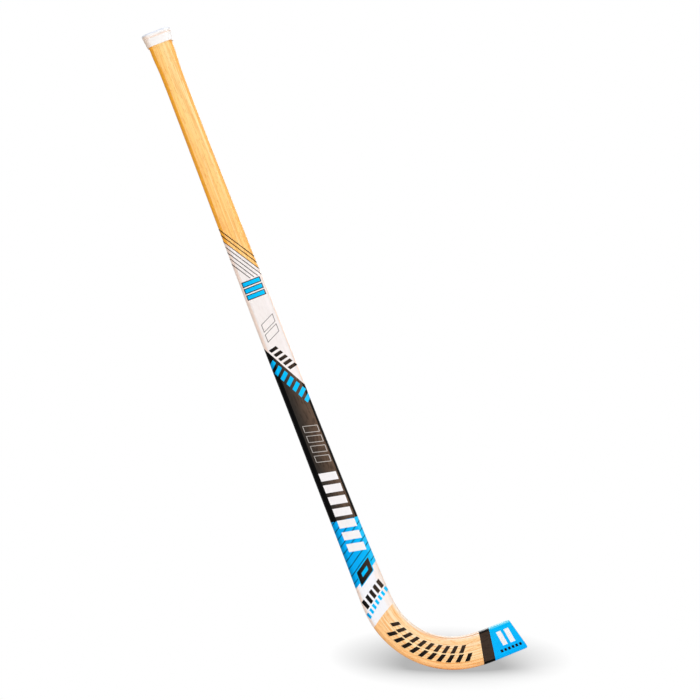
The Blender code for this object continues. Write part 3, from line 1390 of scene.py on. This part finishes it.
@dataclass
class FilmWraps:
    """The printed film drawn round the shaft and the toe."""

    bench: Bench
    lift: float = 0.00006
    thickness: float = 0.00012
    decal_thickness: float = 0.00006

    def sleeve(self, name: str, blank: Object, start: FilmEnd, end: FilmEnd | None) -> Object:
        """Cut an open sleeve out of a bar that stands just off the wood.

        Args:
            name: The object's name.
            blank: The bar that stands off the wood.
            start: The end towards the butt.
            end: The end towards the toe, or none where the film runs over the toe's rim.

        Returns:
            The sleeve, one face thick.
        """
        sleeve = copy_of(blank, name)
        with editing(sleeve):
            saw(sleeve, start.plane(-1), Cut.DROP)
            if end is not None:
                saw(sleeve, end.plane(1), Cut.DROP)
            pick(sleeve, Part.FACE, self.is_sawn_end)
            bpy.ops.mesh.delete(type="FACE")
        return sleeve

    def is_sawn_end(self, face: Face) -> bool:
        """Whether a face is the flat sawn end of the toe, or that of the butt."""
        return face.normal.dot(self.bench.toe.outward) > SAWN or face.normal.x < -SAWN

    def print_patches(self, sleeve: Object, patches: tuple[Patch, ...]) -> None:
        """Cut the outlines of printed shapes into a sleeve.

        Args:
            sleeve: The sleeve.
            patches: The shapes.
        """
        with editing(sleeve):
            for patch in patches:
                for plane in patch.planes():
                    saw(sleeve, plane, Cut.KEEP, patch.near)

    def ink_in(self, sleeve: Object, patches: tuple[Patch, ...]) -> None:
        """Give each printed face the ink of the last shape that holds it.

        Args:
            sleeve: The sleeve, with its film's material in the first slot.
            patches: The shapes, each over the ones before it. One without ink shows the bare film.
        """
        slots: dict[Ink | None, int] = {None: 0}
        for patch in patches:
            if patch.ink not in slots:
                sleeve.data.materials.append(patch.ink.value.material())
                slots[patch.ink] = len(sleeve.data.materials) - 1
        for face in sleeve.data.polygons:
            for patch in patches:
                if patch.holds(face.center):
                    face.material_index = slots[patch.ink]

    def thicken(self, piece: Object, thickness: float) -> None:
        """Give a sleeve its thickness and bend it.

        Args:
            piece: The sleeve.
            thickness: How thick it becomes.
        """
        apply_modifier(piece, "SOLIDIFY", thickness=thickness, offset=1.0, use_even_offset=True)
        self.bench.bend(piece)

    def build(self, wrap: Wrap, blank: Object) -> Object:
        """Make one wrap with its print, give it its thickness, bend it and dress it.

        Args:
            wrap: Which wrap.
            blank: The bar that stands off the wood.

        Returns:
            The finished wrap.
        """
        piece = self.sleeve(wrap.name, blank, wrap.start, wrap.end)
        self.print_patches(piece, wrap.patches)
        piece.data.materials.append(wrap.finish.material())
        self.ink_in(piece, wrap.patches)
        self.thicken(piece, self.thickness)
        return piece

    def build_decal(self, name: str, blank: Object, patches: tuple[Patch, ...]) -> Object:
        """Make print that lies straight on the wood, as thin film cut to its shapes.

        Args:
            name: The object's name.
            blank: The bar that stands off the wood.
            patches: The shapes, which all stay.

        Returns:
            The finished decals, as one piece.
        """
        reach = [corner.x for patch in patches for corner in patch.corners()]
        piece = self.sleeve(name, blank, FilmEnd(min(reach) - MM), FilmEnd(max(reach) + MM))
        self.print_patches(piece, patches)
        with editing(piece):
            pick(piece, Part.FACE, lambda face: not any(
                patch.holds(face.calc_center_median()) for patch in patches))
            bpy.ops.mesh.delete(type="FACE")
        piece.data.materials.append(patches[0].ink.value.material())
        self.thicken(piece, self.decal_thickness)
        return piece


@dataclass
class ButtCap:
    """The moulded cap: a flared cup with a beaded rim, pushed over the butt of the handle."""

    bench: Bench
    length: float = 0.0187
    roof: float = 0.0037
    clearance: float = 0.0003
    wall: float = 0.0015
    flare: float = 0.0015
    flare_knee: Pair = (0.5, 0.48)
    bead: float = 0.0020
    bead_length: float = 0.0056
    groove: float = 0.0006
    # Steps along from the start of the bead, and out from the waist or the crown, in groove depths
    groove_steps: tuple[Pair, ...] = ((-3, 0.0), (-2, -0.6), (-1, -1.0), (0, -0.4))
    bead_steps: tuple[Pair, ...] = ((1, -0.4), (2, 0.0))
    lip_round: float = 0.0005
    edge_round: float = 0.0014
    round_steps: int = 5
    corner_facets: int = 8
    corner_fullness: float = 0.5
    roof_rim: float = 0.0022
    roof_sink: float = 0.0003
    nubs: tuple[Pair, ...] = ((0.0098, 0.0010), (-0.0105, 0.0005))
    nub_radius: float = 0.0022
    nub_taper: float = 0.8
    nub_softness: float = 0.4
    nub_facets: int = 24
    nub_rim_facets: int = 3

    def rings(self) -> list[Pair]:
        """The outside of the cap, from the lip to the roof.

        Returns:
            Rings as (height over the lip, growth over the socket).
        """
        waist = self.wall + self.flare
        crown = self.wall + self.bead
        start = self.length - self.bead_length
        angles = [math.pi / 2 * index / self.round_steps for index in range(self.round_steps + 1)]
        rings = [(
            self.lip_round * (1 - math.cos(angle)),
            self.wall - self.lip_round + self.lip_round * math.sin(angle)) for angle in angles]
        rings.append((start * self.flare_knee[0], self.wall + self.flare * self.flare_knee[1]))
        for base, steps in ((waist, self.groove_steps), (crown, self.bead_steps)):
            rings += [(start + self.groove * along, base + self.groove * out) for along, out in steps]
        rings += [(
            self.length - self.edge_round * (1 - math.sin(angle)),
            crown - self.edge_round * (1 - math.cos(angle))) for angle in angles]
        return rings

    def build(self, finish: MouldedPlastic) -> Object:
        """Model the cap on the bench and dress it.

        Args:
            finish: How the plastic looks.

        Returns:
            The finished cap.
        """
        section = self.bench.section
        socket = (section.half_width(0.0) + self.clearance, section.thickness / 2 + self.clearance)
        (_, growth), (first, next_growth), *others = self.rings()
        half_y, half_z = (half + growth for half in socket)
        cap = block(
            "moulded_butt_cap", (self.length - first, -half_y, -half_z), (self.length, half_y, half_z))
        with editing(cap):
            pick(cap, Part.EDGE, runs_along)
            bpy.ops.mesh.bevel(
                offset=section.shaft_edge_radius + self.clearance + growth, segments=self.corner_facets,
                profile=self.corner_fullness, affect="EDGES", clamp_overlap=False)
            self.widen(cap, self.length - first, growth, next_growth, socket)
            below, growth = first, next_growth
            for above, next_growth in others:
                extrude(below - above)
                self.widen(cap, self.length - above, growth, next_growth, socket)
                below, growth = above, next_growth
            bpy.ops.mesh.inset(thickness=self.roof_rim)
            extrude(self.roof_sink)
            bpy.ops.mesh.inset(thickness=self.roof_sink)
            pick(cap, Part.FACE, lambda face: face.normal.x > SQUARE and at_x(self.length)(face))
            bpy.ops.mesh.inset(thickness=self.wall - self.lip_round)
            extrude(self.roof - self.length)
        clean(cap)
        for y, height in self.nubs:
            self.add_nub(cap, -y, height)
        self.bench.bend(cap)
        cap.data.materials.append(finish.material())
        return cap

    def widen(self, cap: Object, x: float, last: float, growth: float, socket: Pair) -> None:
        """Bring the end face of the cap to its growth over the socket, in edit mode.

        Args:
            cap: The cap in edit mode.
            x: Where its end face lies.
            last: The face's growth now.
            growth: The growth it gets.
            socket: Half sizes of the socket.
        """
        pick(cap, Part.FACE, lambda face: faces_butt(face) and abs(face.calc_center_median().x - x) < SEAM)
        scale = [(half + growth) / (half + last) for half in socket]
        bpy.ops.transform.resize(value=(1, *scale), center_override=(x, 0, 0))

    def add_nub(self, cap: Object, y: float, height: float) -> None:
        """Raise a low, softened nub on the roof.

        Args:
            cap: The cap.
            y: The nub's offset.
            height: How far it stands above the rim.
        """
        depth = height + 2 * self.roof_sink
        bpy.ops.mesh.primitive_cone_add(
            vertices=self.nub_facets, radius1=self.nub_radius, radius2=self.nub_radius * self.nub_taper,
            depth=depth, location=(2 * self.roof_sink - depth / 2, y, 0), rotation=(0, -math.pi / 2, 0))
        nub = bpy.context.object
        bpy.ops.object.transform_apply(location=True, rotation=True, scale=True)
        with editing(nub):
            pick(nub, Part.FACE, faces_butt)
            bpy.ops.mesh.region_to_loop()
            bpy.ops.mesh.bevel(
                offset=height * self.nub_softness, segments=self.nub_rim_facets, affect="EDGES")
        apply_modifier(cap, "BOOLEAN", operation="UNION", solver="EXACT", object=nub)
        clean(cap)
        remove(nub)


@dataclass(frozen=True)
class Softbox:
    """A square lamp with its place, its edge length and its power in watts."""

    name: str
    place: Triple
    size: float
    power: float


@dataclass
class Studio:
    """A pale floor, soft lamps and a camera square to the stick's flat face."""

    camera_distance: float = 2.755
    lens: float = 100.0
    sensor: float = 36.0
    aim: Pair = (0.0218, 0.4523)
    floor_size: float = 30.0
    floor_tone: str = "E8E8E8"
    shadow_reach: float = 0.60
    shadow_tilt: float = math.radians(20)
    shadow_depth: float = 1.56
    shadow_spread: float = 0.30
    shadow_least: float = 0.46
    shadow_haze: float = 0.004
    shadow_samples: int = 64
    shadow_middle: Pair = (0.170, 0.130)
    shadow_radii: Pair = (0.180, 0.310)
    world_light: float = 0.31
    softboxes: tuple[Softbox, ...] = (
        Softbox("key", (0.75, -2.6, 0.45), 0.9, 34.5),
        Softbox("fill", (-1.4, -2.6, 0.45), 0.9, 11.0),
        Softbox("top", (0.4, -0.3, 2.4), 1.0, 18.0),
        Softbox("back", (0.2, 2.6, 1.0), 1.2, 18.0),
    )

    def build(self) -> None:
        """Set up the floor, the world, the lamps and the camera."""
        self.add_floor()
        self.add_world()
        self.add_camera()
        for softbox in self.softboxes:
            self.hang(softbox)

    def hang(self, softbox: Softbox) -> None:
        """Hang a lamp so that it faces the middle of the stick.

        Args:
            softbox: The lamp.
        """
        lamp = bpy.data.lights.new(softbox.name, "AREA")
        lamp.size = softbox.size
        lamp.energy = softbox.power
        obj = bpy.data.objects.new(softbox.name, lamp)
        bpy.context.scene.collection.objects.link(obj)
        obj.location = softbox.place
        target = Vector((self.aim[0], 0, self.aim[1]))
        obj.rotation_euler = (target - obj.location).to_track_quat("-Z", "Y").to_euler()

    def add_camera(self) -> None:
        """Place the camera in front of the stick."""
        data = bpy.data.cameras.new("camera")
        data.lens = self.lens
        data.sensor_width = self.sensor
        camera = bpy.data.objects.new("camera", data)
        bpy.context.scene.collection.objects.link(camera)
        camera.location = (self.aim[0], -self.camera_distance, self.aim[1])
        camera.rotation_euler = (math.pi / 2, 0, 0)
        bpy.context.scene.camera = camera

    def seen(self, tree: Tree) -> Node:
        """1 for rays from the camera, from a reflection or through glass, otherwise 0.

        Args:
            tree: The node tree.

        Returns:
            The node that gives the number.
        """
        path = add_node(tree, "LightPath", {})
        either = add_node(tree, "Math", {
            0: path.outputs["Is Camera Ray"], 1: path.outputs["Is Glossy Ray"]}, operation="MAXIMUM")
        return add_node(tree, "Math", {
            0: either, 1: path.outputs["Is Transmission Ray"]}, operation="MAXIMUM")

    def add_world(self) -> None:
        """A white surround to the eye that gives a plain, soft light."""
        world = bpy.data.worlds.new("studio")
        tree = bare_tree(world)
        lit = add_node(tree, "Background", {"Color": WHITE, "Strength": self.world_light})
        shown = add_node(tree, "Background", {"Color": WHITE, "Strength": 1.0})
        mixed = add_node(tree, "MixShader", {0: self.seen(tree), 1: lit, 2: shown})
        add_node(tree, "OutputWorld", {"Surface": mixed})
        bpy.context.scene.world = world

    def add_floor(self) -> None:
        """A matt white floor, evenly bright to the eye, with a painted soft shadow of the stick.

        The shadow is painted into the floor's glow. It is darker where the stick covers the sky, tilted
        towards the front, and a painted oval round the blade limits it and makes it fade outwards.
        """
        bpy.ops.mesh.primitive_plane_add(size=self.floor_size)
        floor = bpy.context.object
        floor.name = "studio_floor"
        material = bpy.data.materials.new("floor_matt_white")
        tree = bare_tree(material)
        to_light = add_node(tree, "CombineXYZ", {
            "Y": -math.sin(self.shadow_tilt), "Z": math.cos(self.shadow_tilt)})
        open_sky = add_node(tree, "AmbientOcclusion", {
            "Distance": self.shadow_reach, "Normal": to_light}, samples=self.shadow_samples)
        covered = add_node(tree, "Math", {
            0: 1 - self.shadow_haze, 1: open_sky.outputs["AO"]}, operation="SUBTRACT", use_clamp=True)
        spread = add_node(tree, "Math", {0: covered, 1: self.shadow_spread}, operation="POWER")
        # A painted oval round the blade limits the shadow and fades it outwards
        floor_place = add_node(tree, "TexCoord", {})
        oval = add_node(tree, "Mapping", {
            "Vector": floor_place.outputs["Object"],
            "Location": (*self.shadow_middle, 0.0),
            "Scale": (*self.shadow_radii, 1.0)}, vector_type="TEXTURE")
        shadow_oval_fade = add_node(tree, "TexGradient", {"Vector": oval}, gradient_type="SPHERICAL")
        kept = add_node(tree, "Math", {0: spread, 1: shadow_oval_fade.outputs["Fac"]}, operation="MULTIPLY")
        shade = add_node(tree, "MapRange", {
            "Value": kept, "From Max": (1 - self.shadow_least) / self.shadow_depth,
            TO: (1.0, self.shadow_least)})
        matt = add_node(tree, "BsdfDiffuse", {"Color": self.floor_tone})
        glow = add_node(tree, "Emission", {"Color": WHITE, "Strength": shade})
        both = add_node(tree, "MixShader", {0: self.seen(tree), 1: matt, 2: glow})
        add_node(tree, "OutputMaterial", {"Surface": both})
        floor.data.materials.append(material)


# The stick's own strips, wraps and prints

# Painted shading for the outer strips' rounded edges: shade on the heel side, and on the throat side shade
# on the handle with a near-white painted highlight on the blade
HEEL_EDGE_SHADE = {"edge_shading": "FFAE2C", "blade_edge_shading": "FFC384", "flat_depth": 0.0106}
THROAT_EDGE_SHADING = {"edge_shading": "FFC068", "blade_edge_shading": "FFF2E0", "flat_depth": 0.0095}


def strip(kind: StripKind, side: Side, grain_start: float, **look: object) -> Strip:
    """A strip with a finish of its own.

    Args:
        kind: Its place from the middle outwards.
        side: Its side of the middle line.
        grain_start: Where its grain begins in the pattern.
        look: The fields of its finish that differ from plain lacquered wood.

    Returns:
        The strip.
    """
    wood = "poplar" if kind.is_pale else "ash"
    place = kind.value if kind is StripKind.CORE else f"{side.name.lower()}_{kind.value}"
    return Strip(kind, side, LacqueredWood(f"{wood}_{place}_lacquered", grain_start=grain_start, **look))


STRIPS = (
    strip(StripKind.CORE, Side.THROAT, 1.3, blade_tone="FFE0AE"),
    strip(StripKind.WEDGE, Side.THROAT, 11.7, blade_tone="FFDAA4"),
    strip(StripKind.INNER, Side.THROAT, 21.1,
          butt_tone="FFD68C", handle_tone="FFCE80", blade_tone="FFE2B6"),
    strip(StripKind.MIDDLE, Side.THROAT, 31.9,
          butt_tone="FFDA94", handle_tone="FFCC7C", blade_tone="FFDAA6", early_share=0.2, **THROAT_EDGE_SHADING),
    strip(StripKind.EDGE, Side.THROAT, 41.3,
          butt_tone="FFD084", handle_tone="FFD084", blade_tone="FFDEB4", **THROAT_EDGE_SHADING),
    strip(StripKind.WEDGE, Side.HEEL, 51.7, blade_tone="FFDDA8"),
    strip(StripKind.INNER, Side.HEEL, 61.1,
          butt_tone="FFD080", handle_tone="FFCA7A", blade_tone="FFD296"),
    strip(StripKind.MIDDLE, Side.HEEL, 71.3,
          butt_tone="FFCA76", handle_tone="FFC674", blade_tone="FFC98C", **HEEL_EDGE_SHADE),
    # On the handle the heel edge strip lies on the rounded heel edge; its deep orange tones are painted
    # shade there
    strip(StripKind.EDGE, Side.HEEL, 81.9,
          butt_tone="FFB84C", handle_tone="FFB84C", blade_tone="FFCB8E", **HEEL_EDGE_SHADE),
)


@dataclass(frozen=True)
class Row:
    """A row of equal printed bars, each a set distance further along a slanted line."""

    along: float
    across: float
    height: float
    width: float
    ink: Ink | None
    count: int = 1
    pitch: float = 0.0
    heading: float = 0.0
    turn: float = 0.0
    lean: float = ACROSS
    rim: float = 0.0
    rim_ink: Ink | None = None

    def patches(self) -> list[Patch]:
        """The bars, each over its rim if it has one.

        Returns:
            The printed shapes in order.
        """
        made = []
        heading = math.radians(self.heading)
        for index in range(self.count):
            along = self.along + math.cos(heading) * self.pitch * index
            across = self.across + math.sin(heading) * self.pitch * index
            bar = Patch(along, across, self.height, self.width, self.ink, self.turn, self.lean)
            if self.rim > 0:
                made.append(replace(
                    bar, length=self.height + 2 * self.rim, width=self.width + 2 * self.rim,
                    ink=self.rim_ink))
            made.append(bar)
        return made


WHITE_TOP = FilmEnd(0.3372, 1.61)
BLACK_TOP = FilmEnd(0.5070, 1.92)
BLUE_TOP = FilmEnd(0.7393, 0.14)
BLUE_END = FilmEnd(0.8233, -0.66)
LOWER_WHITE_END = FilmEnd(0.8842, -0.39)
TOE_BAND_TOP = FilmEnd(1.0447, 0.16)
TOE_BAND_END = FilmEnd(1.0606, 0.16)
BLUE_LEAN = BLUE_END.slope + HALF_TURN
FULL_WIDTH = 0.200


@dataclass(frozen=True)
class Pinstripes:
    """Thin dark stripes round the stick, parallel to the top end of the white film."""

    start: float = WHITE_TOP.along
    turn: float = WHITE_TOP.slope
    pitch: float = 0.0089
    width: float = 0.00120
    wood_count: int = 2
    film_count: int = 5
    full_count: int = 2
    square_end: float = 0.3740
    reach: float = 0.060

    def stripe(self, index: int, ink: Ink) -> Patch:
        """One stripe, right across or up to the square end of the row.

        Args:
            index: Its place in the row, 0 where the film starts.
            ink: Its ink.

        Returns:
            The stripe.
        """
        along = self.start + self.pitch * index + (self.width / 2 if index == 0 else 0.0)
        turn = math.radians(self.turn)
        end = self.reach if index < self.full_count else (self.square_end - along) / math.cos(turn)
        middle = (end - self.reach) / 2
        return Patch(
            along + middle * math.cos(turn), middle * math.sin(turn), end + self.reach, self.width, ink,
            self.turn, ACROSS - self.turn)

    def on_wood(self) -> tuple[Patch, ...]:
        """The stripes on the bare handle."""
        return tuple(self.stripe(index, Ink.BROWN) for index in range(-self.wood_count, 0))

    def on_film(self) -> list[Patch]:
        """The stripe on the film's end and those below it."""
        below = [self.stripe(index, Ink.GREY) for index in range(1, self.film_count)]
        return [self.stripe(0, Ink.NAVY)] + below


UPPER_WHITE_PRINT = (
    Pinstripes().on_film()
    + Row(0.3795, 0.0, height=0.0052, width=0.0250, ink=Ink.CYAN, count=3, pitch=0.0096,
          rim=0.0013, rim_ink=Ink.BLACK).patches()
    + Row(0.4420, 0.0015, height=0.0100, width=0.0190, ink=None, count=2, pitch=0.0150, lean=115.0,
          rim=0.0009, rim_ink=Ink.GREY).patches()
    + Row(0.4795, -0.0050, height=0.0052, width=0.0115, ink=Ink.BLACK, count=5, pitch=0.0088,
          heading=BLACK_TOP.slope, turn=BLACK_TOP.slope, lean=75.0).patches()
)
BLACK_PRINT = (
    Row(0.5000, -0.0150, height=0.0062, width=0.0125, ink=Ink.CYAN, count=7, pitch=0.0112,
        heading=BLACK_TOP.slope, turn=BLACK_TOP.slope, lean=105.0).patches()
    + Row(0.6030, 0.0035, height=0.0085, width=0.0190, ink=None, count=4, pitch=0.0150, lean=75.0,
          rim=0.0009, rim_ink=Ink.PALE).patches()
)
BOLD_PRINT = Row(
    0.6745, 0.0020, height=0.0118, width=0.0242, ink=Ink.WHITE, count=7, pitch=0.0178,
    lean=78.0).patches()
BLUE_PRINT = Row(
    0.7289, 0.0, height=0.0013, width=FULL_WIDTH, ink=Ink.NAVY, count=9, pitch=0.0109,
    lean=BLUE_LEAN).patches()
BADGE_PRINT = (
    Row(0.8180, 0.0005, height=0.0200, width=0.0230, ink=Ink.BLACK, lean=BLUE_LEAN,
        rim=0.0012, rim_ink=Ink.CYAN).patches()
    + Row(0.8180, 0.0005, height=0.0060, width=0.0110, ink=Ink.CYAN, lean=BLUE_LEAN).patches()
)
LOWER_WHITE_PRINT = (
    Row(0.8615, -0.0157, height=0.0056, width=0.0120, ink=Ink.BLACK, count=5, pitch=0.0089,
        heading=BLUE_LEAN, turn=BLUE_END.slope, lean=75.0).patches()
    + Row(0.8768, -0.0180, height=0.0042, width=0.0072, ink=Ink.CYAN, count=7, pitch=0.0074,
          heading=BLUE_LEAN, turn=BLUE_END.slope, lean=75.0).patches()
)
TOE_PRINT = (
    Row(1.0765, 0.0045, height=0.0070, width=0.0210, ink=Ink.WHITE, count=2, pitch=0.0115,
        lean=98.0).patches()
    + Row(1.0700, -0.0125, height=0.0036, width=0.0040, ink=Ink.BLACK, count=6, pitch=0.0056,
          lean=98.0).patches()
)
BLADE_ROW = Row(
    0.9060, 0.0063, height=0.0062, width=0.0108, ink=Ink.BLACK, count=10, pitch=0.0124, lean=60.0)
BLADE_PRINT = BLADE_ROW.patches() + replace(BLADE_ROW, along=0.9128, across=-0.0063).patches()

WRAPS = (
    Wrap("film_upper_white", "upper_white_wrap", "white_film",
         WHITE_TOP, BLACK_TOP, WHITE_VINYL, tuple(UPPER_WHITE_PRINT)),
    Wrap("film_black", "black_wrap", "black_film",
         BLACK_TOP, BLUE_TOP, BLACK_VINYL, tuple(BLACK_PRINT + BOLD_PRINT)),
    Wrap("film_blue", "blue_wrap", "blue_film",
         BLUE_TOP, BLUE_END, BLUE_VINYL, tuple(BLUE_PRINT + BOLD_PRINT + BADGE_PRINT)),
    Wrap("film_lower_white", "lower_white_wrap", "white_film",
         BLUE_END, LOWER_WHITE_END, LOWER_WHITE_VINYL, tuple(BADGE_PRINT + LOWER_WHITE_PRINT)),
    Wrap("film_toe_black", "toe_black_band", "black_film",
         TOE_BAND_TOP, TOE_BAND_END, TOE_BLACK_VINYL),
    Wrap("film_toe_blue", "toe_blue_wrap", "blue_film",
         TOE_BAND_END, None, TOE_BLUE_VINYL, tuple(TOE_PRINT)),
)


def main() -> None:
    """Build the stick piece by piece, then the studio round it."""
    logging.basicConfig(level=logging.INFO, format="%(message)s")
    bpy.context.scene.view_settings.view_transform = "Standard"
    bench = Bench()

    wood_blank = bench.milled_bar("wood_blank", 0.0)
    wood = GluedWood(bench)
    for each in STRIPS:
        hand_over(wood.build_strip(each, wood_blank), each.node)
    hand_over(wood.build_joints(wood_blank, ResinGlue("resin_glue_hardened")))
    remove(wood_blank)

    films = FilmWraps(bench)
    film_blank = bench.milled_bar("film_blank", films.lift)
    for wrap in WRAPS:
        hand_over(films.build(wrap, film_blank), wrap.node)
    hand_over(films.build_decal("printed_pinstripes", film_blank, Pinstripes().on_wood()))
    hand_over(films.build_decal("printed_blade_bars", film_blank, tuple(BLADE_PRINT)))
    remove(film_blank)

    hand_over(ButtCap(bench).build(MouldedPlastic("abs_white_moulded")), "butt_cap")
    bench.put_away()
    Studio().build()


if __name__ == "__main__":
    main()
